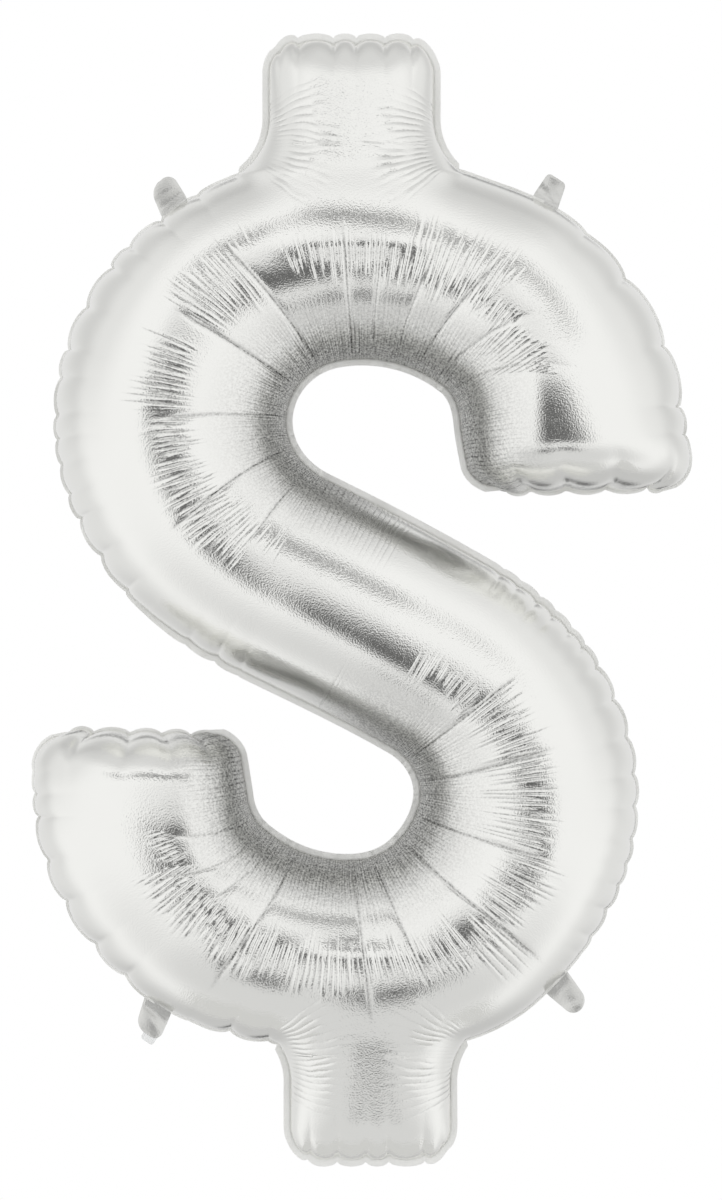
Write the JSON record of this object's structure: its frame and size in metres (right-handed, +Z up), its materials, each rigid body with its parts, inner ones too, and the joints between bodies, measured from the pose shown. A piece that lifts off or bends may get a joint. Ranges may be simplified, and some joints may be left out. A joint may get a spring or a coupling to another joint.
{
  "type": "foil dollar sign balloon",
  "caption": "Helium-filled silver foil balloon shaped as a dollar sign: two quilted foil halves welded at a puckered rim, with folding hang tabs and an inflation tail.",
  "frame": {"origin": "middle of the whole outline, in the plane of the welded rim", "axes": "+Z up along the balloon's height, +X to the right seen from the front, the front faces -Y"},
  "size_m": [0.5945, 0.17, 1.016],
  "materials": {
    "foil": "smooth aluminised film, satin mirror with fine wrinkles",
    "foil_rim": "heat-sealed double film, puckered, slightly duller",
    "foil_tab": "double film, lightly creased",
    "valve_film": "clear soft film"
  },
  "bodies": {
    "envelope": {"front_panel": "foil", "back_panel": "foil", "seam_rim": "foil_rim"},
    "tab_upper_left": {"tab_upper_left": "foil_tab"},
    "tab_upper_right": {"tab_upper_right": "foil_tab"},
    "tab_lower_right": {"tab_lower_right": "foil_tab"},
    "inflation_tail": {"inflation_tail": "foil_tab", "valve_film": "valve_film"}
  },
  "joints": [
    {"name": "tab_upper_left_fold", "type": "hinge", "parent": "envelope", "child": "tab_upper_left", "pos_m": [-0.16893, 0, 0.35498], "axis": [0.7769, 0, 0.6297], "range_deg": [-100, 100]},
    {"name": "tab_upper_right_fold", "type": "hinge", "parent": "envelope", "child": "tab_upper_right", "pos_m": [0.16631, 0, 0.35842], "axis": [0.8455, 0, -0.534], "range_deg": [-100, 100]},
    {"name": "tab_lower_right_fold", "type": "hinge", "parent": "envelope", "child": "tab_lower_right", "pos_m": [0.17683, 0, -0.34435], "axis": [-0.6716, 0, -0.7409], "range_deg": [-100, 100]},
    {"name": "inflation_tail_fold", "type": "hinge", "parent": "envelope", "child": "inflation_tail", "pos_m": [-0.18307, 0, -0.36592], "axis": [-0.8241, 0, 0.5665], "range_deg": [-100, 100]}
  ]
}
